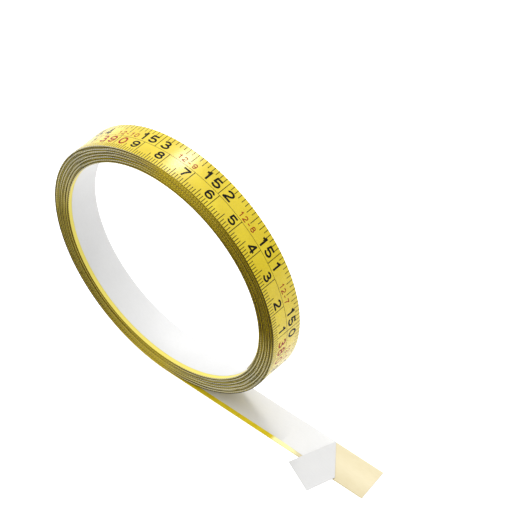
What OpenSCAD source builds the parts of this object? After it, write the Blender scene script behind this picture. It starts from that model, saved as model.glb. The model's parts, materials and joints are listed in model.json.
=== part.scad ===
// Self-adhesive bench tape measure: a lacquered steel strip with adhesive and a
// release liner on its back, wound face outwards into a ring, with a flat free end.
// Millimetres. +Z is up. The ring's axis runs along Y and the free end along +X.
// The origin is on the ground under the ring's axis, at the middle of the strip's width.

/* [Strip] */
// width of the strip
strip_w = 12; // [8:0.5:25]
// thickness of the spring-steel core
steel_t = 0.15; // [0.1:0.01:0.3]
// thickness of the lacquer on the faces and edges of the core
lacquer_t = 0.035; // [0.03:0.005:0.08]
// thickness of the adhesive film
adhesive_t = 0.08; // [0.05:0.01:0.2]
// thickness of the release liner
liner_t = 0.08; // [0.05:0.01:0.2]
// how far the liner stops short of the strip's near edge
liner_margin = 1.4; // [0:0.1:2.5]

/* [Ring] */
// outside diameter of the wound ring
ring_d = 90; // [80:1:120]
// whole turns in the ring
whole_turns = 15; // [6:1:20]
// angle that the inner end is wound past the last whole turn
inner_end_deg = 300; // [190:5:350]

/* [Free end] */
// length of the free end from under the ring's axis
tail_len = 78.4; // [76:0.2:100]
// slant of the cut end, from its middle to each corner, along the strip
end_slant = 0.7; // [0:0.1:2]
// distance of the first bend from under the ring's axis
bend_x = 20; // [16:1:26]
// distance of the place where the free end twists
twist_x = 33; // [30:1:38]
// distance of the second bend
tip_x = 46; // [42:1:52]
// gap between the rigid lengths that stand for the bending strip
joint_gap = 0.2; // [0.1:0.05:0.4]

/* [Peeled liner] */
// where the crease meets the far edge of the strip
crease_far_x = 58.8; // [55:0.2:62]
// where the crease meets the near edge of the strip
crease_near_x = 68.4; // [63:0.2:72]
// angle between the folded flap and the liner under it
flap_lift = 15; // [2:1:170]
// how far the liner stops short of the near edge at its peeled end
end_margin = 0.5; // [0:0.1:2.5]
// width of the line that the fold has pressed into the adhesive beside the crease
mark_w = 0.3; // [0.1:0.05:0.5]
// depth of that line
mark_depth = 0.02; // [0.01:0.005:0.04]

/* [Hidden] */
$fn = 96;
skin_t = steel_t + 2 * lacquer_t;
pitch = skin_t + adhesive_t + liner_t;
ring_r = ring_d / 2;
half_w = strip_w / 2;
core_half_w = half_w - lacquer_t;
liner_near_y = -half_w + liner_margin;
half_gap = joint_gap / 2;
mark_offset = 0.1;
mark_reach = half_w + 0.5;

// The winding is a chain of half circles. Each is half a pitch smaller than the
// one before, and the centres of every second one stand half a pitch higher, so
// the half circles meet with a common tangent above and below the ring's axis.
last_sweep = inner_end_deg > 180 ? inner_end_deg - 180 : inner_end_deg;
arc_count = 2 * whole_turns + (inner_end_deg > 180 ? 2 : 1);
function arc_r(k) = ring_r - k * pitch / 2;
function arc_z(k) = ring_r + (k % 2) * pitch / 2;
function arc_sweep(k) = k == arc_count - 1 ? last_sweep : 180;

// the crease, and the places where it crosses the liner's two edges
crease_dir = [crease_near_x - crease_far_x, -strip_w, 0];
crease_far = [crease_far_x, half_w, pitch];
function crease_x(y) = crease_far_x + (half_w - y) * (crease_near_x - crease_far_x) / strip_w;
function end_x(y) = tail_len - end_slant * y / half_w;

// the liner's near edge drifts along the tip, from one margin to the other
liner_end_y = -half_w + end_margin;
liner_drift = (liner_near_y - liner_end_y) / (end_x(liner_end_y) - tip_x);
crease_lean = (crease_near_x - crease_far_x) / strip_w;
crease_near_y = (liner_near_y - liner_drift * (crease_x(0) - tip_x)) / (1 - liner_drift * crease_lean);

// ---- cross-sections: first axis across the strip, second away from its face ----

module jacket_section() {
  difference() {
    translate([-half_w, 0]) square([strip_w, skin_t]);
    core_section();
  }
}

module core_section() {
  translate([-core_half_w, lacquer_t]) square([2 * core_half_w, steel_t]);
}

module adhesive_section() {
  translate([-half_w, skin_t]) square([strip_w, adhesive_t]);
}

module liner_section() {
  translate([liner_near_y, skin_t + adhesive_t]) square([half_w - liner_near_y, liner_t]);
}

// ---- sweeps of a cross-section ----

// one arc of the winding, with the face outwards
module wound_arc(k) {
  translate([0, 0, arc_z(k)])
    rotate([-90, 90 - 180 * (k % 2), 0])
      rotate_extrude(angle = arc_sweep(k))
        translate([arc_r(k), 0])
          rotate(90)
            children();
}

// a flat length between two distances, with the face down
module flat_length(x0, x1) {
  translate([x0, 0, 0])
    rotate([90, 0, 90])
      linear_extrude(x1 - x0)
        children();
}

// the whole winding and the flat length that leaves it
module coil_layer() {
  for (k = [0 : arc_count - 1])
    wound_arc(k) children();
  flat_length(0, bend_x - half_gap) children();
}

module root_layer() {
  flat_length(bend_x + half_gap, twist_x - half_gap) children();
}

module mid_layer() {
  flat_length(twist_x + half_gap, tip_x - half_gap) children();
}

// a plate of the tip with its slanted cut end, between two edges of the strip
module tip_plate(y0, y1, z0, t, over = 0) {
  translate([0, 0, z0])
    linear_extrude(t)
      polygon([
        [tip_x + half_gap - over, y0],
        [end_x(y0) + over, y0],
        [end_x(y1) + over, y1],
        [tip_x + half_gap - over, y1]
      ]);
}

// the line pressed into the adhesive, on the bare side of the crease
module crease_mark() {
  translate([0, 0, skin_t + adhesive_t - mark_depth])
    linear_extrude(adhesive_t)
      polygon([
        [crease_x(-mark_reach) + mark_offset, -mark_reach],
        [crease_x(-mark_reach) + mark_offset + mark_w, -mark_reach],
        [crease_x(mark_reach) + mark_offset + mark_w, mark_reach],
        [crease_x(mark_reach) + mark_offset, mark_reach]
      ]);
}

// ---- sub-parts ----

module coil_lacquer() {
  color([0.93, 0.80, 0.16]) coil_layer() jacket_section();
}

module coil_steel() {
  color([0.55, 0.56, 0.58]) coil_layer() core_section();
}

module coil_adhesive() {
  color([0.90, 0.84, 0.55]) coil_layer() adhesive_section();
}

module coil_liner() {
  color([0.94, 0.94, 0.93]) coil_layer() liner_section();
}

module root_lacquer() {
  color([0.93, 0.80, 0.16]) root_layer() jacket_section();
}

module root_steel() {
  color([0.55, 0.56, 0.58]) root_layer() core_section();
}

module root_adhesive() {
  color([0.90, 0.84, 0.55]) root_layer() adhesive_section();
}

module root_liner() {
  color([0.94, 0.94, 0.93]) root_layer() liner_section();
}

module mid_lacquer() {
  color([0.93, 0.80, 0.16]) mid_layer() jacket_section();
}

module mid_steel() {
  color([0.55, 0.56, 0.58]) mid_layer() core_section();
}

module mid_adhesive() {
  color([0.90, 0.84, 0.55]) mid_layer() adhesive_section();
}

module mid_liner() {
  color([0.94, 0.94, 0.93]) mid_layer() liner_section();
}

module tip_lacquer() {
  color([0.93, 0.80, 0.16])
    difference() {
      tip_plate(-half_w, half_w, 0, skin_t);
      tip_plate(-core_half_w, core_half_w, lacquer_t, steel_t, 1);
    }
}

module tip_steel() {
  color([0.55, 0.56, 0.58]) tip_plate(-core_half_w, core_half_w, lacquer_t, steel_t);
}

module tip_adhesive() {
  color([0.97, 0.92, 0.76])
    difference() {
      tip_plate(-half_w, half_w, skin_t, adhesive_t);
      crease_mark();
    }
}

// the liner still on the tip, as far as the crease
module tip_liner() {
  color([0.94, 0.94, 0.93])
    translate([0, 0, skin_t + adhesive_t])
      linear_extrude(liner_t)
        polygon([
          [tip_x + half_gap, liner_near_y - liner_drift * half_gap],
          [crease_x(crease_near_y), crease_near_y],
          [crease_x(half_w), half_w],
          [tip_x + half_gap, half_w]
        ]);
}

// the peeled liner, folded back over the crease
module liner_flap() {
  color([0.90, 0.90, 0.90])
    translate(crease_far)
      rotate(a = 180 - flap_lift, v = crease_dir)
        translate(-crease_far)
          translate([0, 0, skin_t + adhesive_t])
            linear_extrude(liner_t)
              polygon([
                [crease_x(crease_near_y), crease_near_y],
                [end_x(liner_end_y), liner_end_y],
                [end_x(half_w), half_w],
                [crease_x(half_w), half_w]
              ]);
}

coil_lacquer();
coil_steel();
coil_adhesive();
coil_liner();
root_lacquer();
root_steel();
root_adhesive();
root_liner();
mid_lacquer();
mid_steel();
mid_adhesive();
mid_liner();
tip_lacquer();
tip_steel();
tip_adhesive();
tip_liner();
liner_flap();
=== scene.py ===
import json
import math

import bmesh
import bpy
import numpy as np
from mathutils import Matrix, Vector
from mathutils.geometry import delaunay_2d_cdt


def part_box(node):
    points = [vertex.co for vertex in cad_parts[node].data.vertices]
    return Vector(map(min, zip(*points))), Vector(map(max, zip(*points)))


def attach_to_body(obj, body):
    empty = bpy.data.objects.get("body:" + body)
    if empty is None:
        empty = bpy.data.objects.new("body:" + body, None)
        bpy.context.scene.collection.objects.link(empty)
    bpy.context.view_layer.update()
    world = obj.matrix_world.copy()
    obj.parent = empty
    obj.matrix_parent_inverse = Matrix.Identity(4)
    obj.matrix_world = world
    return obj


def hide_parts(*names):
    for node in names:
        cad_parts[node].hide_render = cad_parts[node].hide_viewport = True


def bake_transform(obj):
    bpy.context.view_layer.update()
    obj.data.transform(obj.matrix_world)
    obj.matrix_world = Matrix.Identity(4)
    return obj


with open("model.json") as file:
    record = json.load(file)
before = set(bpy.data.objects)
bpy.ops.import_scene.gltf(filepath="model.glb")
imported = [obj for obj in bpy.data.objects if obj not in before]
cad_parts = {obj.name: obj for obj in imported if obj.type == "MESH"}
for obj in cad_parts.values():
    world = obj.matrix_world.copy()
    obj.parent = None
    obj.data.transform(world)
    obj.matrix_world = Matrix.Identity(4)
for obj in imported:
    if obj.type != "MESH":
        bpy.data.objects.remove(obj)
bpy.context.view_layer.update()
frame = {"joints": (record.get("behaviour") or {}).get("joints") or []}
scene = bpy.context.scene
MM = 0.001

# ---------------------------------------------------------------- dimensions
# Lengths are in millimetres until a mesh is made. x runs along the free end,
# y across the strip, and z up from the table.


def box_mm(node):
    low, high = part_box(node)
    return np.array(low) / MM, np.array(high) / MM


_, coil_high = box_mm("coil_lacquer")
root_low, root_high = box_mm("root_lacquer")
_, tip_high = box_mm("tip_lacquer")
_, film_high = box_mm("root_adhesive")
liner_low, liner_high = box_mm("root_liner")

RING_R = coil_high[2] / 2
NEAR_Y, FAR_Y = root_low[1], root_high[1]
HALF_W = FAR_Y
STRIP_TOP, FILM_TOP, PITCH = root_high[2], film_high[2], liner_high[2]
FILM_INSET = 0.12
LINER_NEAR_Y, LINER_FAR_Y = liner_low[1], FAR_Y - 0.1
WHOLE_TURNS = 15
INNER_END_DEG = 300
JOINTS = {j["name"]: j for j in frame["joints"]}


def joint_x(name):
    return JOINTS[name]["pos_m"][0] / MM


BEND_X, TWIST_X, TIP_X = joint_x("tail_bend"), joint_x("tail_twist"), joint_x("tip_bend")
END_SLANT, SLANT_REACH = 0.7, 8.0  # how far the cut end leans, and over what length
TAIL_END = tip_high[0] - END_SLANT
PRINT_FROM, PRINT_TO = -(TAIL_END - 1.0), 2 * math.pi * RING_R - 2.0
MARK_PHASE = 0.2  # where each millimetre mark falls within its millimetre of strip, plus a half

# -------------------------------------------------------------------- helpers


def winding():
    """The half turns of the winding (start length, radius, centre height, angle, side)
    and the wound length. side is -1 where the strip goes up and 1 where it comes down."""
    rows, start = [], 0.0
    count = 2 * WHOLE_TURNS + 2
    for k in range(count):
        odd = k % 2
        angle = math.radians(INNER_END_DEG - 180) if k == count - 1 else math.pi
        radius = RING_R - k * PITCH / 2
        rows.append((start, radius, RING_R + odd * PITCH / 2, angle, 1.0 if odd else -1.0))
        start += radius * angle
    return rows, start


TURNS, WOUND_LENGTH = winding()


def on_strip(s, y, depth):
    """Points (n, 3) in mm. s runs along the face from under the ring's axis into
    the winding, and is negative on the free end. depth is measured from the face."""
    s, y, depth = (np.asarray(v, float) for v in np.broadcast_arrays(s, y, depth))
    starts, radii, heights, _, sides = (np.array(column) for column in zip(*TURNS))
    k = np.clip(np.searchsorted(starts, s, side="right") - 1, 0, len(TURNS) - 1)
    turned = (s - starts[k]) / radii[k]
    reach = sides[k] * (radii[k] - depth)
    x = np.where(s <= 0, -s, reach * np.sin(turned))
    z = np.where(s <= 0, depth, heights[k] + reach * np.cos(turned))
    return np.stack([x, y, z], axis=-1)


def new_mesh(name, verts_mm, faces, materials, face_materials=None, uv=None):
    """A smooth-shaded object. face_materials holds one material number for each face,
    and uv one pair for each vertex."""
    mesh = bpy.data.meshes.new(name)
    mesh.from_pydata([tuple(v) for v in np.asarray(verts_mm) * MM], [], faces)
    for m in materials:
        mesh.materials.append(m)
    if face_materials is not None:
        mesh.polygons.foreach_set("material_index", face_materials)
    mesh.polygons.foreach_set("use_smooth", [True] * len(mesh.polygons))
    if uv is not None:
        layer = mesh.uv_layers.new(name="along")
        loops = np.zeros(len(mesh.loops), int)
        mesh.loops.foreach_get("vertex_index", loops)
        layer.data.foreach_set("uv", np.asarray(uv, float)[loops].ravel())
    mesh.validate()
    obj = bpy.data.objects.new(name, mesh)
    scene.collection.objects.link(obj)
    return obj


def sharpen(obj, degrees=35):
    """Marks the edges that are sharper than the angle, so flat sides stay crisp."""
    bm = bmesh.new()
    bm.from_mesh(obj.data)
    limit = math.radians(degrees)
    for edge in bm.edges:
        if len(edge.link_faces) == 2 and edge.calc_face_angle(0.0) > limit:
            edge.smooth = False
    bm.to_mesh(obj.data)
    bm.free()


# ------------------------------------------------------------------ materials


def material(name, base, rough, metallic=0.0):
    m = bpy.data.materials.new(name)
    m.use_nodes = True
    nodes, links = m.node_tree.nodes, m.node_tree.links
    bsdf = nodes["Principled BSDF"]
    bsdf.inputs["Base Color"].default_value = (*base, 1)
    bsdf.inputs["Roughness"].default_value = rough
    bsdf.inputs["Metallic"].default_value = metallic
    return m, nodes, links, bsdf


def add(nodes, kind, **props):
    n = nodes.new(kind)
    for key, value in props.items():
        setattr(n, key, value)
    return n


def noise(nodes, links, vector, scale, detail=3.0, rough=0.55):
    n = add(nodes, "ShaderNodeTexNoise")
    n.inputs["Scale"].default_value = scale
    n.inputs["Detail"].default_value = detail
    n.inputs["Roughness"].default_value = rough
    links.new(vector, n.inputs["Vector"])
    return n


def scaled(nodes, links, vector, scale):
    n = add(nodes, "ShaderNodeMapping")
    n.inputs["Scale"].default_value = scale
    links.new(vector, n.inputs["Vector"])
    return n.outputs["Vector"]


def ramp(nodes, links, factor, stops):
    n = add(nodes, "ShaderNodeValToRGB")
    while len(n.color_ramp.elements) < len(stops):
        n.color_ramp.elements.new(0.5)
    for stop, (position, colour) in zip(n.color_ramp.elements, stops):
        stop.position = position
        stop.color = (*colour, 1)
    links.new(factor, n.inputs["Fac"])
    return n.outputs["Color"]


def mix(nodes, links, factor, a, b, blend="MIX"):
    n = add(nodes, "ShaderNodeMix", data_type="RGBA", blend_type=blend)
    for socket, value in ((n.inputs["Factor"], factor), (n.inputs["A"], a), (n.inputs["B"], b)):
        if isinstance(value, bpy.types.NodeSocket):
            links.new(value, socket)
        else:
            socket.default_value = value if isinstance(value, float) else (*value, 1)
    return n.outputs["Result"]


def bump(nodes, links, bsdf, height, strength, distance):
    n = add(nodes, "ShaderNodeBump")
    n.inputs["Strength"].default_value = strength
    n.inputs["Distance"].default_value = distance
    links.new(height, n.inputs["Height"])
    links.new(n.outputs["Normal"], bsdf.inputs["Normal"])


def map_range(nodes, links, value, low, high, start=0.0, end=1.0):
    """Goes from low to high while the value goes from start to end."""
    n = add(nodes, "ShaderNodeMapRange")
    n.inputs["From Min"].default_value = start
    n.inputs["From Max"].default_value = end
    n.inputs["To Min"].default_value = low
    n.inputs["To Max"].default_value = high
    links.new(value, n.inputs["Value"])
    return n.outputs["Result"]


YELLOW, YELLOW_DEEP = (0.578, 0.455, 0.011), (0.51, 0.386, 0.006)
OLIVE_DARK, OLIVE, OLIVE_LIGHT = (0.012, 0.007, 0.001), (0.098, 0.064, 0.002), (0.56, 0.43, 0.040)
# greys for the painted reflection on the edges
REFLECTION_GREY_DARK, REFLECTION_GREY, REFLECTION_GREY_LIGHT = (0.001, 0.001, 0.001), (0.050, 0.048, 0.034), (0.50, 0.49, 0.42)
BUNDLE = 2.6  # turns between one dark line and the next
DRIFT = 9.0  # how far those lines wander, in radians
PAINTED_LIGHT_TOP = 0.62  # painted light: how much paler the edges are painted at the ring's top and bottom
BARE_HALF = 0.36  # half of each millimetre of edge that has no mark, in mm


def lacquer_material():
    m, nodes, links, bsdf = material("yellow_lacquer", YELLOW, 0.3)
    place = add(nodes, "ShaderNodeTexCoord").outputs["Object"]
    cloud = noise(nodes, links, place, scale=160, detail=3)
    colour = ramp(nodes, links, cloud.outputs["Fac"], [(0.3, YELLOW_DEEP), (0.7, YELLOW)])
    links.new(colour, bsdf.inputs["Base Color"])
    fine = noise(nodes, links, place, scale=2600, detail=2)
    links.new(map_range(nodes, links, fine.outputs["Fac"], 0.20, 0.30), bsdf.inputs["Roughness"])
    bump(nodes, links, bsdf, fine.outputs["Fac"], strength=0.06, distance=0.00002)
    bsdf.inputs["Specular IOR Level"].default_value = 0.38
    return m


def math_node(nodes, links, operation, a, b=0.0):
    n = add(nodes, "ShaderNodeMath", operation=operation)
    for socket, value in zip(n.inputs, (a, b)):
        if isinstance(value, bpy.types.NodeSocket):
            links.new(value, socket)
        else:
            socket.default_value = value
    return n.outputs["Value"]


def edge_material():
    """The slit edges of the wound turns: olive, with darker and lighter turns, and the ends of the
    printed marks, which run over the rounded edge.
    Painted light makes the edges paler at the ring's top and bottom, and a painted reflection greys
    them on one diagonal of the ring."""
    m, nodes, links, bsdf = material("slit_edge", OLIVE, 0.4)
    place = add(nodes, "ShaderNodeTexCoord").outputs["Object"]
    spoke = add(nodes, "ShaderNodeVectorMath", operation="MULTIPLY_ADD")
    links.new(place, spoke.inputs[0])
    spoke.inputs[1].default_value = (1 / (RING_R * MM), 0, 1 / (RING_R * MM))
    spoke.inputs[2].default_value = (0, 0, -1)
    length = add(nodes, "ShaderNodeVectorMath", operation="LENGTH")
    links.new(spoke.outputs["Vector"], length.inputs[0])
    side = add(nodes, "ShaderNodeSeparateXYZ")
    links.new(spoke.outputs["Vector"], side.inputs["Vector"])

    def calc(operation, one, two=0.0):
        return math_node(nodes, links, operation, one, two)

    # the turns stand out in bundles of darker and lighter turns; on one diagonal of the ring a painted
    # reflection gives them more contrast and greys them
    drift = noise(nodes, links, spoke.outputs["Vector"], scale=1.6, detail=2).outputs["Fac"]
    radius = calc("MULTIPLY", length.outputs["Value"], 2 * math.pi * RING_R / (BUNDLE * PITCH))
    wave = calc("SINE", calc("ADD", radius, calc("MULTIPLY", drift, DRIFT)))
    diagonal = calc("MULTIPLY", calc("MULTIPLY", side.outputs["X"], side.outputs["Z"]), -2.0)
    # painted reflection: the bundles are given more contrast on the diagonal
    clear = map_range(nodes, links, diagonal, 0.15, 2.0, -0.1, 0.9)
    turn = add(nodes, "ShaderNodeCombineXYZ")
    links.new(calc("MULTIPLY", length.outputs["Value"], 60), turn.inputs["X"])
    links.new(side.outputs["X"], turn.inputs["Y"])
    links.new(side.outputs["Z"], turn.inputs["Z"])
    layers = noise(nodes, links, turn.outputs["Vector"], scale=1.0, detail=2, rough=0.7).outputs["Fac"]
    tone = calc("ADD", calc("MULTIPLY", wave, clear), calc("MULTIPLY", layers, 0.8))
    # painted light: the edges are painted paler at the ring's top and bottom, where their rounded
    # sides face the light
    upright = calc("POWER", calc("ABSOLUTE", side.outputs["Z"]), 4.0)
    tone = calc("ADD", calc("ADD", tone, calc("MULTIPLY", upright, PAINTED_LIGHT_TOP)), -0.07)
    olive = ramp(nodes, links, tone, [(0.15, OLIVE_DARK), (0.45, OLIVE), (0.95, OLIVE_LIGHT)])
    grey = ramp(nodes, links, tone, [(0.15, REFLECTION_GREY_DARK), (0.45, REFLECTION_GREY), (0.95, REFLECTION_GREY_LIGHT)])
    # painted reflection: the edges are painted grey on one diagonal of the ring
    painted_reflection_share = map_range(nodes, links, diagonal, 0.0, 0.95, -0.1, 0.75)
    colour = mix(nodes, links, painted_reflection_share, olive, grey)

    # the printed marks end on the edge
    uv = add(nodes, "ShaderNodeUVMap", uv_map="along").outputs["UV"]
    along = add(nodes, "ShaderNodeSeparateXYZ")
    links.new(uv, along.inputs["Vector"])
    mark = calc("FRACT", calc("ADD", calc("MULTIPLY", along.outputs["X"], 1 / MM), 1 - MARK_PHASE))
    bare = calc("LESS_THAN", calc("ABSOLUTE", calc("SUBTRACT", mark, 0.5)), BARE_HALF)
    shade = mix(nodes, links, bare, (0.3, 0.3, 0.3), (1.0, 1.0, 1.0))
    links.new(mix(nodes, links, 1.0, colour, shade, "MULTIPLY"), bsdf.inputs["Base Color"])
    links.new(map_range(nodes, links, layers, 0.3, 0.45), bsdf.inputs["Roughness"])
    bsdf.inputs["Specular IOR Level"].default_value = 0.05
    bump(nodes, links, bsdf, layers, strength=0.15, distance=0.00003)
    return m


def steel_material():
    m, nodes, links, bsdf = material("cut_steel", (0.5, 0.5, 0.52), 0.35, 1.0)
    place = add(nodes, "ShaderNodeTexCoord").outputs["Object"]
    grain = noise(nodes, links, scaled(nodes, links, place, (1, 1, 8)), scale=1500, detail=2)
    links.new(map_range(nodes, links, grain.outputs["Fac"], 0.25, 0.5), bsdf.inputs["Roughness"])
    bump(nodes, links, bsdf, grain.outputs["Fac"], strength=0.2, distance=0.00002)
    return m


def liner_material(name, shade):
    m, nodes, links, bsdf = material(name, (shade, shade, shade), 0.5)
    place = add(nodes, "ShaderNodeTexCoord").outputs["Object"]
    fibre = noise(nodes, links, scaled(nodes, links, place, (1, 2.5, 1)), scale=900, detail=4)
    cloud = noise(nodes, links, place, scale=120, detail=2)
    tone = mix(nodes, links, 0.5, fibre.outputs["Color"], cloud.outputs["Color"])
    grey = add(nodes, "ShaderNodeRGBToBW")
    links.new(tone, grey.inputs["Color"])
    dark = (shade * 0.97,) * 3
    light = (shade * 1.03,) * 3
    colour = ramp(nodes, links, grey.outputs["Val"], [(0.35, dark), (0.65, light)])
    links.new(colour, bsdf.inputs["Base Color"])
    links.new(map_range(nodes, links, fibre.outputs["Fac"], 0.42, 0.6), bsdf.inputs["Roughness"])
    bump(nodes, links, bsdf, fibre.outputs["Fac"], strength=0.12, distance=0.00003)
    return m


GOLD, GOLD_DEEP = (0.62, 0.50, 0.020), (0.55, 0.42, 0.012)
CREAM, CREAM_DEEP = (0.560, 0.495, 0.325), (0.545, 0.478, 0.308)
PAINTED_LIGHT_GOLD = (0.66, 0.56, 0.115)  # painted light: paler gold for the film in the winding
# painted highlight on the free end, held up to the flap, so it also paints light over the flap's shade
PAINTED_HIGHLIGHT = (0.80, 0.77, 0.36)
PAINTED_LIGHT_GROWS = 40  # length of strip over which the painted light pales the film as the winding starts
TURNS_PAINTED_HIGHLIGHT, TURNS_MILKY = (42.4, 43.6), (50.0, 54.0)  # stretches of the free end: where the painted highlight starts, and where the film turns milky


def film_material():
    """Clear over the lacquer, so golden; painted light makes it paler in the winding and a painted
    highlight lies on the free end, and it is milky near the bare tip.
    """
    m, nodes, links, bsdf = material("adhesive_film", GOLD, 0.3)
    place = add(nodes, "ShaderNodeTexCoord").outputs["Object"]
    ripple = noise(nodes, links, scaled(nodes, links, place, (1, 3, 1)), scale=260, detail=3)
    gold = ramp(nodes, links, ripple.outputs["Fac"], [(0.35, GOLD_DEEP), (0.65, GOLD)])
    cream = ramp(nodes, links, ripple.outputs["Fac"], [(0.35, CREAM_DEEP), (0.65, CREAM)])
    uv = add(nodes, "ShaderNodeUVMap", uv_map="along").outputs["UV"]
    along = add(nodes, "ShaderNodeSeparateXYZ")
    links.new(uv, along.inputs["Vector"])
    # painted highlight along the free end, then milky film near the tip
    painted_highlight, milky = (
        map_range(nodes, links, along.outputs["X"], 0, 1, -start * MM, -end * MM)
        for start, end in (TURNS_PAINTED_HIGHLIGHT, TURNS_MILKY)
    )
    # painted light: the film is painted paler in the winding
    wound = map_range(nodes, links, along.outputs["X"], 0, 1, 0, PAINTED_LIGHT_GROWS * MM)
    # the clear film's colour, with the painted light in the winding and the painted highlight on the
    # free end
    clear = mix(nodes, links, painted_highlight, mix(nodes, links, wound, gold, PAINTED_LIGHT_GOLD), PAINTED_HIGHLIGHT)
    links.new(mix(nodes, links, milky, clear, cream), bsdf.inputs["Base Color"])
    links.new(map_range(nodes, links, ripple.outputs["Fac"], 0.25, 0.4), bsdf.inputs["Roughness"])
    bsdf.inputs["Specular IOR Level"].default_value = 0.12
    bump(nodes, links, bsdf, ripple.outputs["Fac"], strength=0.15, distance=0.00004)
    return m


def ink_material(name, low, high):
    m, nodes, links, bsdf = material(name, high, 0.4)
    place = add(nodes, "ShaderNodeTexCoord").outputs["Object"]
    speck = noise(nodes, links, place, scale=3000, detail=2)
    colour = ramp(nodes, links, speck.outputs["Fac"], [(0.35, low), (0.65, high)])
    links.new(colour, bsdf.inputs["Base Color"])
    links.new(map_range(nodes, links, speck.outputs["Fac"], 0.24, 0.34), bsdf.inputs["Roughness"])
    bsdf.inputs["Specular IOR Level"].default_value = 0.05
    return m


LACQUER = lacquer_material()
EDGE = edge_material()
STEEL = steel_material()
LINER = liner_material("release_liner", 0.557)
LINER_BACK = liner_material("release_liner_back", 0.497)
FILM = film_material()
INK_BLACK = ink_material("black_ink", (0.006, 0.005, 0.004), (0.014, 0.012, 0.008))
INK_RED = ink_material("red_ink", (0.19, 0.014, 0.006), (0.28, 0.026, 0.010))

# --------------------------------------------------------------------- strips


def section(y0, y1, d0, d1, round_steps=1):
    """A closed outline (y, depth) with rounded long edges, starting on the near edge."""
    r, mid = (d1 - d0) / 2, (d0 + d1) / 2
    turns = [math.pi * (i + 0.5) / (round_steps + 1) for i in range(round_steps + 1)]
    near = [(y0 + r * (1 - math.sin(a)), mid + r * math.cos(a)) for a in turns]
    far = [(y1 - r * (1 - math.sin(a)), mid - r * math.cos(a)) for a in turns]
    return near + [(y0 + r, d0), (y1 - r, d0)] + far + [(y1 - r, d1), (y0 + r, d1)]


def on_long_edge(outline, y0, y1, rounding):
    """For each side of the outline, whether it lies on one of the rounded long edges."""
    sides = zip(outline, outline[1:] + outline[:1])
    return [any(abs(a[0] - y) + abs(b[0] - y) < 2.1 * rounding for y in (y0, y1)) for a, b in sides]


def slant(points, s):
    """Leans the last part of the free end over to its slanted cut."""
    share = np.clip((-np.asarray(s) - (TAIL_END - SLANT_REACH)) / SLANT_REACH, 0, 1)
    points[:, 0] -= share * END_SLANT * points[:, 1] / HALF_W
    return points


STRAY = 0.06
STRAY_WAVES = ((61.0, 0.4, 1.0), (97.0, 1.3, 0.9), (23.0, 0.4, 0.6))  # length, phase, share
STRAY_STARTS = 120.0  # the turns under the outer one stray more and more over this length


def stray(s):
    """How far the band strays sideways at each length, in mm."""
    s = np.maximum(np.asarray(s, float), 0)
    wave = sum(share * np.sin(s / length + phase) for length, phase, share in STRAY_WAVES)
    return STRAY * wave * np.clip((s - PRINT_TO) / STRAY_STARTS, 0, 1)


def sweep(name, stations, outline, materials, wound_sides, free_sides, cap_end=False):
    """A band whose outline follows the strip through the stations. wound_sides gives the
    material number of each side in the winding, and free_sides on the free end. The caps
    have the last material."""
    n, m = len(stations), len(outline)
    s = np.repeat(stations, m)
    y = np.tile([point[0] for point in outline], n) + stray(s)
    depth = np.tile([point[1] for point in outline], n)
    verts = slant(on_strip(s, y, depth), s)
    faces, numbers = [], []
    for i in range(n - 1):
        for j in range(m):
            a, b = i * m + j, i * m + (j + 1) % m
            faces.append((a, b, b + m, a + m))
            numbers.append(wound_sides[j] if stations[i] >= 0 else free_sides[j])
    if cap_end:
        faces.append(tuple(range((n - 1) * m, n * m))[::-1])
        faces.append(tuple(range(m)))
        numbers += [len(materials) - 1] * 2
    run = np.cumsum([0] + [math.dist(outline[j], outline[(j + 1) % m]) for j in range(m - 1)])
    uv = np.stack([s * MM, np.tile(run, n) * MM], axis=-1)
    obj = new_mesh(name, verts, faces, materials, numbers, uv)
    sharpen(obj)
    return obj


def wound_stations(step_deg=2.0):
    """Lengths along the winding, evenly spaced in angle."""
    out = []
    for start, radius, _, arc, _ in TURNS:
        count = max(2, round(math.degrees(arc) / step_deg))
        out += [start + radius * arc * i / count for i in range(count)]
    return out + [WOUND_LENGTH]


def tail_stations(x0, x1, step=0.5):
    """Lengths along the free end, from far to near."""
    count = max(2, round((x1 - x0) / step))
    return [-(x0 + (x1 - x0) * i / count) for i in range(count, -1, -1)]


# For each length of strip: its stations, and the two bodies that it bends between
# with the places where the bend starts and ends.
SPANS = {
    "coil": (sorted({-BEND_X, -BEND_X / 2, -2.0, *wound_stations()}), None),
    "root": (tail_stations(BEND_X, TWIST_X), ("coil", "tail_root", BEND_X, TWIST_X - 2)),
    "mid": (tail_stations(TWIST_X, TIP_X), ("tail_root", "tail_mid", TWIST_X, TIP_X - 1)),
    "tip": (tail_stations(TIP_X, TAIL_END), ("tail_mid", "tail_tip", TIP_X, TIP_X + 11)),
}


def attach(obj, span, slot, *nodes):
    """Rides on the ring, or is baked in place on the free end."""
    link = SPANS[span][1]
    if link is None:
        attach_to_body(obj, "coil")
    else:
        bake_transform(obj)
    if nodes:
        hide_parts(*nodes)


strip_outline = section(NEAR_Y, FAR_Y, 0, STRIP_TOP, 5)
film_outline = section(NEAR_Y + FILM_INSET, FAR_Y - FILM_INSET, STRIP_TOP, FILM_TOP)
liner_outline = section(LINER_NEAR_Y, LINER_FAR_Y, FILM_TOP, PITCH)
strip_materials = [LACQUER, EDGE, FILM, STEEL]
on_edge = on_long_edge(strip_outline, NEAR_Y, FAR_Y, STRIP_TOP / 2)
wound_sides = [strip_materials.index(EDGE if edge else LACQUER) for edge in on_edge]
# on the free end the adhesive has run over the edges
free_sides = [strip_materials.index(FILM if edge else LACQUER) for edge in on_edge]
plain = [0] * len(film_outline)

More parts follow.
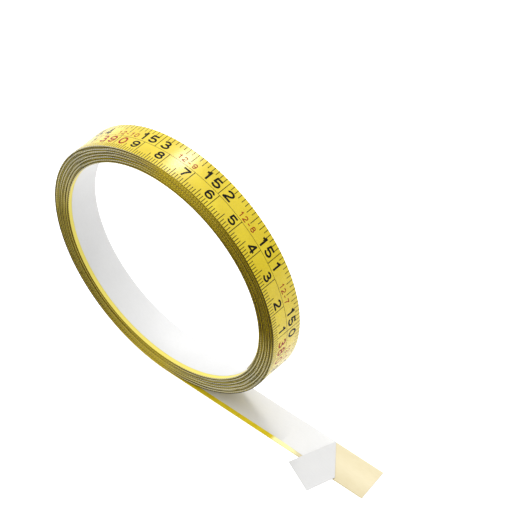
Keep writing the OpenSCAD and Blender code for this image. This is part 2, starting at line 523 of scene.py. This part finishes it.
for part, (stations, _) in SPANS.items():
    cut = part == "tip"
    strip = sweep(
        f"strip_{part}", stations, strip_outline, strip_materials, wound_sides, free_sides, cut
    )
    attach(strip, part, "lacquer", f"{part}_lacquer", f"{part}_steel")
    adhesive = sweep(f"adhesive_{part}", stations, film_outline, [FILM], plain, plain, cut)
    attach(adhesive, part, "adhesive", f"{part}_adhesive")
    if part != "tip":
        liner = sweep(f"liner_{part}", stations, liner_outline, [LINER], plain, plain)
        attach(liner, part, "liner", f"{part}_liner")

# --------------------------------------------------------- liner at the tip

crease_dir = np.array(JOINTS["liner_peel"]["axis"], float)
crease_far = np.array(JOINTS["liner_peel"]["pos_m"], float) / MM
across = np.array([-crease_dir[1], crease_dir[0], 0.0])  # level, from the crease towards the cut end
UP = np.array([0.0, 0.0, 1.0])


def crease_x(y):
    return crease_far[0] + (y - crease_far[1]) * crease_dir[0] / crease_dir[1]


def end_x(y):
    return TAIL_END - END_SLANT * y / HALF_W


def sheet(name, grid, normals, thickness, mat):
    """A closed sheet about a grid of points (n, m, 3), with a normal for each point."""
    n, m, _ = grid.shape

    def at(i, j):
        return i * m + j

    top = (grid + normals * thickness / 2).reshape(-1, 3)
    bottom = (grid - normals * thickness / 2).reshape(-1, 3)
    faces = []
    for i in range(n - 1):
        for j in range(m - 1):
            quad = (at(i, j), at(i + 1, j), at(i + 1, j + 1), at(i, j + 1))
            faces.append(quad)
            faces.append(tuple(v + n * m for v in quad[::-1]))
    rim = [at(i, 0) for i in range(n)] + [at(n - 1, j) for j in range(1, m)]
    rim += [at(i, m - 1) for i in range(n - 2, -1, -1)] + [at(0, j) for j in range(m - 2, 0, -1)]
    for a, b in zip(rim, rim[1:] + rim[:1]):
        faces.append((a, a + n * m, b + n * m, b))
    obj = new_mesh(name, np.concatenate([top, bottom]), faces, [mat])
    bm = bmesh.new()
    bm.from_mesh(obj.data)
    bmesh.ops.recalc_face_normals(bm, faces=bm.faces)
    bm.to_mesh(obj.data)
    bm.free()
    sharpen(obj)
    return obj


LINER_T = PITCH - FILM_TOP
LINER_MID = (PITCH + FILM_TOP) / 2
END_MARGIN = 0.5  # what the liner leaves free along the near edge at the cut end
SHARES = np.linspace(0, 1, 24)  # places across the strip, from the near edge to the far edge


def near_edge_y(x):
    """The liner's near edge: its margin narrows along the tip."""
    share = (x - TIP_X) / (TAIL_END - TIP_X)
    return LINER_NEAR_Y + (NEAR_Y + END_MARGIN - LINER_NEAR_Y) * np.clip(share, 0, 1)


def tip_liner_grid():
    """The flat liner from the tip's joint to the crease."""
    columns = np.linspace(0, 1, 60)
    grid = np.zeros((len(columns), len(SHARES), 3))
    for i, t in enumerate(columns):
        for j, share in enumerate(SHARES):
            y = LINER_NEAR_Y + (FAR_Y - LINER_NEAR_Y) * share
            x = TIP_X + (crease_x(y) - TIP_X) * t
            y = near_edge_y(x) + (FAR_Y - near_edge_y(x)) * share
            grid[i, j] = (TIP_X + (crease_x(y) - TIP_X) * t, y, LINER_MID)
    return grid


tip_grid = tip_liner_grid()
liner_tip = sheet("liner_tip", tip_grid, np.broadcast_to(UP, tip_grid.shape), LINER_T, LINER)
attach(liner_tip, "tip", "liner", "tip_liner")

FLAP_LIFT_DEG = 15
FOLD_TURN = math.radians(180 - FLAP_LIFT_DEG)
FOLD_R = LINER_T / 2
FLAP_CURL = -0.0006  # how far the flap bows, for each square millimetre from the fold


def flap_point(x, y):
    """Where a point of the peeled liner lies, and its normal, once folded back."""
    p = np.array([x, y, LINER_MID])
    foot = crease_far + crease_dir * ((p - crease_far) @ crease_dir)
    reach = (p - foot) @ across
    bent = min(reach / FOLD_R, FOLD_TURN)
    centre = foot * np.array([1, 1, 0]) + UP * (LINER_MID + FOLD_R)
    q = centre + FOLD_R * (math.sin(bent) * across - math.cos(bent) * UP)
    rest = max(reach - FOLD_R * FOLD_TURN, 0.0)
    q = q + rest * (math.cos(FOLD_TURN) * across + math.sin(FOLD_TURN) * UP)
    normal = -math.sin(bent) * across + math.cos(bent) * UP
    return q + FLAP_CURL * rest * rest * normal, normal


def flap_grid():
    """Columns across the strip and rows along it, closer together in the fold."""
    fold = FOLD_R * FOLD_TURN / abs(across[0])
    runs = np.concatenate([np.linspace(0, fold, 12)[:-1], np.linspace(fold, 1.0, 4)])
    out = np.linspace(0, 1, 26)[1:]
    grid = np.zeros((len(runs) + len(out), len(SHARES), 3))
    normals = np.zeros_like(grid)
    near_crease_y = near_edge_y(crease_x(near_edge_y(crease_x(NEAR_Y))))
    for j, share in enumerate(SHARES):
        crease_y = near_crease_y + (FAR_Y - near_crease_y) * share
        end_y = NEAR_Y + END_MARGIN + (FAR_Y - NEAR_Y - END_MARGIN) * share
        start = np.array([crease_x(crease_y), crease_y])
        end = np.array([end_x(end_y), end_y])
        length = np.linalg.norm(end - start)
        reach = np.concatenate([runs, runs[-1] + (length - runs[-1]) * out])
        for i, run in enumerate(reach):
            grid[i, j], normals[i, j] = flap_point(*(start + (end - start) * run / length))
    return grid, normals


flap_points, flap_normals = flap_grid()
flap = sheet("liner_flap_folded", flap_points, flap_normals, LINER_T, LINER_BACK)
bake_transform(flap)
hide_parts("liner_flap")

# ------------------------------------------------------------- printed scales
# Laid out flat first: x is the reading direction along the face and y the
# place across the strip, both in mm. Lengths grow against the reading direction.

READING_AT_AXIS = 402.17  # centimetres printed at the point under the ring's axis
INCH = 25.4
MIDLINE_Y = NEAR_Y + 6.08
INK_LIFT = 0.006


def s_of_cm(cm):
    return (READING_AT_AXIS - cm) * 10


def s_of_inch(inch):
    return READING_AT_AXIS * 10 - inch * INCH


def arc(cx, cy, rx, ry, start, end, steps=18):
    """Points of an ellipse between two angles in degrees, anticlockwise from +x."""
    turns = np.radians(np.linspace(start, end, steps))
    return [(cx + rx * math.cos(a), cy + ry * math.sin(a)) for a in turns]


def curve(p0, p1, p2, p3, steps=14):
    """Points of a cubic curve."""
    p0, p1, p2, p3 = (np.array(p, float) for p in (p0, p1, p2, p3))
    out = []
    for t in np.linspace(0, 1, steps):
        u = 1 - t
        out.append(tuple(u**3 * p0 + 3 * u * u * t * p1 + 3 * u * t * t * p2 + t**3 * p3))
    return out


FIGURE_W = 0.9


def digit_lines(char, t):
    """The middle lines of a figure's strokes. The figure is 1 high and FIGURE_W wide, and
    t is the width of the stroke."""
    h = t / 2
    low, top, left, right = h, 1 - h, h, FIGURE_W - h
    mid = (left + right) / 2
    half = (right - left) / 2
    if char == "0":
        return [arc(mid, 0.5, half, 0.5 - h, 0, 360, 36)]
    if char == "1":
        return [[(0.52, 0), (0.52, 1)], curve((0.52, 0.93), (0.46, 0.83), (0.36, 0.76), (0.18, 0.72))]
    if char == "2":
        bowl = arc(mid, 0.70, half - 0.02, top - 0.70, 172, -24)
        back = curve(bowl[-1], (0.70, 0.44), (0.20, 0.32), (left, low))
        return [bowl + back[1:], [(left - h, low), (right + h, low)]]
    if char == "3":
        upper = arc(mid - 0.02, (top + 0.53) / 2, half - 0.06, (top - 0.53) / 2, 162, -90)
        lower = arc(mid, (0.53 + low) / 2, half, (0.53 - low) / 2, 90, -164)
        return [upper + [(0.30, 0.53)], [(0.30, 0.53)] + lower]
    if char == "4":
        return [
            [(0.66, 0), (0.66, 1)],
            [(0.66, 0.95), (left, 0.30)],
            [(0.0, 0.29), (FIGURE_W, 0.29)],
        ]
    if char == "5":
        bowl = arc(mid, 0.33, half, 0.33 - low, 148, -164, 26)
        return [[(right - 0.02, top), (0.17, top)], [(0.20, 1.0), (0.115, 0.44)], bowl]
    if char == "6":
        bowl = arc(mid, 0.325, half, 0.325 - low, 0, 360, 32)
        return [bowl, arc(mid + 0.01, 0.5, half + 0.01, 0.5 - h, 32, 188, 24)]
    if char == "7":
        return [[(0.02, top), (0.88, top)], curve((0.85, top), (0.60, 0.68), (0.42, 0.36), (0.36, 0))]
    if char == "8":
        return [
            arc(mid, (top + 0.54) / 2, half - 0.06, (top - 0.54) / 2, 0, 360, 30),
            arc(mid, (0.54 + low) / 2, half, (0.54 - low) / 2, 0, 360, 32),
        ]
    if char == "9":
        return [[(FIGURE_W - x, 1 - y) for x, y in line] for line in digit_lines("6", t)]
    return [[(0.2, 0.38), (0.7, 0.38)]]  # a dash


def ribbon(line, t):
    """Quads of width t along a line, with mitred corners."""
    p = np.array(line)
    step = np.diff(p, axis=0)
    step /= np.linalg.norm(step, axis=1)[:, None]
    if np.allclose(p[0], p[-1]):
        before, after = np.vstack([step[-1:], step]), np.vstack([step, step[:1]])
    else:
        before, after = np.vstack([step[:1], step]), np.vstack([step, step[-1:]])
    lean = before + after
    lean /= np.linalg.norm(lean, axis=1)[:, None]
    stretch = 1 / np.maximum((lean * after).sum(1), 0.5)
    side = np.stack([-lean[:, 1], lean[:, 0]], -1) * stretch[:, None] * t / 2
    left, right = p + side, p - side
    return [[left[i], right[i], right[i + 1], left[i + 1]] for i in range(len(p) - 1)]


GLYPHS = {}


def glyph(char, t):
    """A figure's flat shape: its strokes run together into one set of triangles."""
    if (char, t) not in GLYPHS:
        corners, quads = [], []
        for line in digit_lines(char, t):
            for quad in ribbon(line, t):
                quads.append(list(range(len(corners), len(corners) + 4)))
                corners += [Vector(c) for c in quad]
        verts, _, faces, _, _, sources = delaunay_2d_cdt(corners, [], quads, 1, 1e-6)
        inked = [tuple(f) for f, source in zip(faces, sources) if source]
        GLYPHS[char, t] = np.array([tuple(v) for v in verts]), inked
    return GLYPHS[char, t]


class Print:
    """Flat ink shapes of one colour."""

    def __init__(self):
        self.verts, self.faces = [], []

    def put(self, verts, faces):
        base = len(self.verts)
        self.verts += [tuple(v) for v in verts]
        self.faces += [tuple(i + base for i in f) for f in faces]

    def bar(self, x, y0, y1, width):
        if PRINT_FROM < x < PRINT_TO:
            h = width / 2
            self.put([(x - h, y0), (x + h, y0), (x + h, y1), (x - h, y1)], [(0, 1, 2, 3)])

    def char(self, char, centre, bottom, height, width, stroke):
        """A figure of that cap height and full width, with strokes of that thickness."""
        verts, faces = glyph(char, round(stroke / height, 3))
        x = (verts[:, 0] / FIGURE_W - 0.5) * width + centre
        y = verts[:, 1] * height + bottom
        if PRINT_FROM < x.min() and x.max() < PRINT_TO:
            self.put(np.stack([x, y], -1), faces)


black, red = Print(), Print()
TICK_W = 0.23
CM_FIGURE = (NEAR_Y + 2.4, 3.1, 2.8, 0.61)  # bottom, height, width, stroke
TEN_FIGURE = (NEAR_Y + 2.3, 3.35, 2.95, 0.61)
INCH_FIGURE = (NEAR_Y + 6.7, 3.35, 3.05, 0.66)
FEET_FIGURE = (NEAR_Y + 6.65, 1.9, 1.45, 0.32)
CM_SHIFT = -2.15  # from a mark to the middles of its figures, along the strip
TEN_SHIFTS = (-6.3, -2.3, 2.6)
INCH_SHIFTS = (-6.1, -2.5, 2.6)
FEET_START, FEET_STEP = 8.9, 1.9

# centimetre scale on the near half
MM_TICK, HALF_CM_TICK = 1.9, 3.2
first_mm = math.ceil((READING_AT_AXIS - PRINT_TO / 10) * 10)
last_mm = math.floor((READING_AT_AXIS - PRINT_FROM / 10) * 10)
for mm in range(first_mm, last_mm + 1):
    x = s_of_cm(mm / 10)
    cm, tenth = divmod(mm, 10)
    if tenth:
        black.bar(x, NEAR_Y, NEAR_Y + (HALF_CM_TICK if tenth == 5 else MM_TICK), TICK_W)
        continue
    black.bar(x, NEAR_Y, MIDLINE_Y, TICK_W)
    if cm % 10:
        black.char(str(cm % 10), x + CM_SHIFT, *CM_FIGURE)
    else:
        for char, shift in zip(str(cm), TEN_SHIFTS):
            red.char(char, x + shift, *TEN_FIGURE)


def inch_tick(part):
    """A sixteenth's mark, short beside the figures and otherwise longer for 1/8, 1/4 and 1/2."""
    if part <= 2 or part >= 11:
        return 1.9
    for sixteenths, length in ((8, 3.9), (4, 3.5), (2, 2.7)):
        if part % sixteenths == 0:
            return length
    return 1.9


# inch scale on the far half, with feet and inches ahead of each inch
first_inch = math.floor((READING_AT_AXIS * 10 - PRINT_TO) / INCH)
last_inch = math.ceil((READING_AT_AXIS * 10 - PRINT_FROM) / INCH)
for sixteenth in range(first_inch * 16, last_inch * 16 + 1):
    inch, part = divmod(sixteenth, 16)
    x = s_of_inch(sixteenth / 16)
    if part:
        black.bar(x, FAR_Y - inch_tick(part), FAR_Y, TICK_W * 0.95)
        continue
    black.bar(x, MIDLINE_Y, FAR_Y, TICK_W)
    for char, shift in zip(str(inch), INCH_SHIFTS):
        black.char(char, x + shift, *INCH_FIGURE)
    feet, rest = divmod(inch + 1, 12)
    start = s_of_inch(inch + 1) + FEET_START
    for i, char in enumerate(f"{feet}-{rest}"):
        red.char(char, start + FEET_STEP * i, *FEET_FIGURE)

# the line between the two scales
line_low, line_high = MIDLINE_Y - 0.06, MIDLINE_Y + 0.06
black.put(
    [(PRINT_FROM, line_low), (PRINT_TO, line_low), (PRINT_TO, line_high), (PRINT_FROM, line_high)],
    [(0, 1, 2, 3)],
)

PRINT_STEP = 0.9  # the ink is cut this finely to follow the ring


def cut_across(bm, x, **clear):
    """Cuts flat ink at x, and clears one side of the cut if asked."""
    everything = bm.verts[:] + bm.edges[:] + bm.faces[:]
    bmesh.ops.bisect_plane(bm, geom=everything, plane_co=(x, 0, 0), plane_no=(1, 0, 0), **clear)


def lay_print(ink, colour, mat):
    """Cuts the flat ink at the joints and along the ring, and lays it on the strip's face."""
    limits = {
        "coil": (-BEND_X, PRINT_TO + 1),
        "root": (-TWIST_X, -BEND_X),
        "mid": (-TIP_X, -TWIST_X),
        "tip": (-TAIL_END, -TIP_X),
    }
    for part, (low, high) in limits.items():
        bm = bmesh.new()
        made = [bm.verts.new((x, y, 0)) for x, y in ink.verts]
        for f in ink.faces:
            bm.faces.new([made[i] for i in f])
        cut_across(bm, low, clear_inner=True)
        cut_across(bm, high, clear_outer=True)
        for x in np.arange(math.ceil(low), high, PRINT_STEP):
            cut_across(bm, float(x))
        if not bm.faces:
            bm.free()
            continue
        bm.verts.index_update()
        along, across_strip = np.array([v.co[:2] for v in bm.verts]).T
        faces = [tuple(v.index for v in f.verts) for f in bm.faces]
        bm.free()
        verts = slant(on_strip(along, across_strip, -INK_LIFT), along)
        obj = new_mesh(f"scale_{colour}_{part}", verts, faces, [mat])
        attach(obj, part, "lacquer")


lay_print(black, "black", INK_BLACK)
lay_print(red, "red", INK_RED)

# ------------------------------------------------------- floor, light, camera

FLOOR_HALF = 3  # metres
FLOOR_DROP = 0.00003  # metres, so the print under the free end stays above it
GLOW_DIRECTION = (-0.35, 0.25, 0.90)

corners = [(-FLOOR_HALF, -FLOOR_HALF, 0), (FLOOR_HALF, -FLOOR_HALF, 0)]
corners += [(FLOOR_HALF, FLOOR_HALF, 0), (-FLOOR_HALF, FLOOR_HALF, 0)]
floor_mesh = bpy.data.meshes.new("floor")
floor_mesh.from_pydata(corners, [], [(0, 1, 2, 3)])
floor = bpy.data.objects.new("floor", floor_mesh)
scene.collection.objects.link(floor)
floor.location.z = -FLOOR_DROP
floor_mat, nodes, links, bsdf = material("lit_table", (0.5, 0.5, 0.5), 0.9)
bsdf.inputs["Emission Color"].default_value = (1, 1, 1, 1)
bsdf.inputs["Emission Strength"].default_value = 0.85
place = add(nodes, "ShaderNodeTexCoord").outputs["Object"]
speck = noise(nodes, links, place, scale=40, detail=2)
table_greys = [(0.3, (0.49, 0.49, 0.49)), (0.7, (0.51, 0.51, 0.51))]
links.new(ramp(nodes, links, speck.outputs["Fac"], table_greys), bsdf.inputs["Base Color"])
floor_mesh.materials.append(floor_mat)

world = bpy.data.worlds.new("studio")
world.use_nodes = True
sky, sky_links = world.node_tree.nodes, world.node_tree.links
towards_glow = add(sky, "ShaderNodeVectorMath", operation="DOT_PRODUCT")
towards_glow.inputs[1].default_value = GLOW_DIRECTION
sky_links.new(add(sky, "ShaderNodeTexCoord").outputs["Generated"], towards_glow.inputs[0])
sky["Background"].inputs["Color"].default_value = (1, 1, 1, 1)
glow = map_range(sky, sky_links, towards_glow.outputs["Value"], 0.34, 1.96, -0.3, 1.0)
sky_links.new(glow, sky["Background"].inputs["Strength"])
scene.world = world
scene.view_settings.view_transform = "Standard"

RING_CENTRE = Vector((0, 0, RING_R * MM))


def softbox(name, direction, distance, size, power):
    """A round light that faces the ring's centre, with distance and size in metres."""
    light = bpy.data.lights.new(name, "AREA")
    light.shape = "DISK"
    light.size = size
    light.energy = power
    obj = bpy.data.objects.new(name, light)
    scene.collection.objects.link(obj)
    towards = Vector(direction).normalized()
    obj.location = RING_CENTRE + towards * distance
    obj.rotation_euler = towards.to_track_quat("Z", "Y").to_euler()


softbox("key", direction=(-0.33, 0.52, 0.79), distance=1.0, size=0.21, power=3.3)

CAMERA = {"azimuth": 42.33, "elevation": 45.87, "roll": -1.47, "distance": 0.8651, "lens": 190.03}
CAMERA_AIM = Vector((5.776, 32.274, 23.672)) * MM


def place_camera():
    """The photo's view. The azimuth turns from -y towards +x, and the distance is in metres."""
    az, el, roll = (math.radians(CAMERA[k]) for k in ("azimuth", "elevation", "roll"))
    back = Vector((math.sin(az) * math.cos(el), -math.cos(az) * math.cos(el), math.sin(el)))
    right = Vector((0, 0, 1)).cross(back).normalized()
    up = back.cross(right)
    right, up = (
        right * math.cos(roll) + up * math.sin(roll),
        up * math.cos(roll) - right * math.sin(roll),
    )
    data = bpy.data.cameras.new("camera")
    data.lens = CAMERA["lens"]
    data.sensor_width = 36
    data.clip_start = 0.01
    data.clip_end = 20
    cam = bpy.data.objects.new("camera", data)
    scene.collection.objects.link(cam)
    turn = Matrix((right, up, back)).transposed().to_4x4()
    cam.matrix_world = Matrix.Translation(CAMERA_AIM + back * CAMERA["distance"]) @ turn
    scene.camera = cam


place_camera()
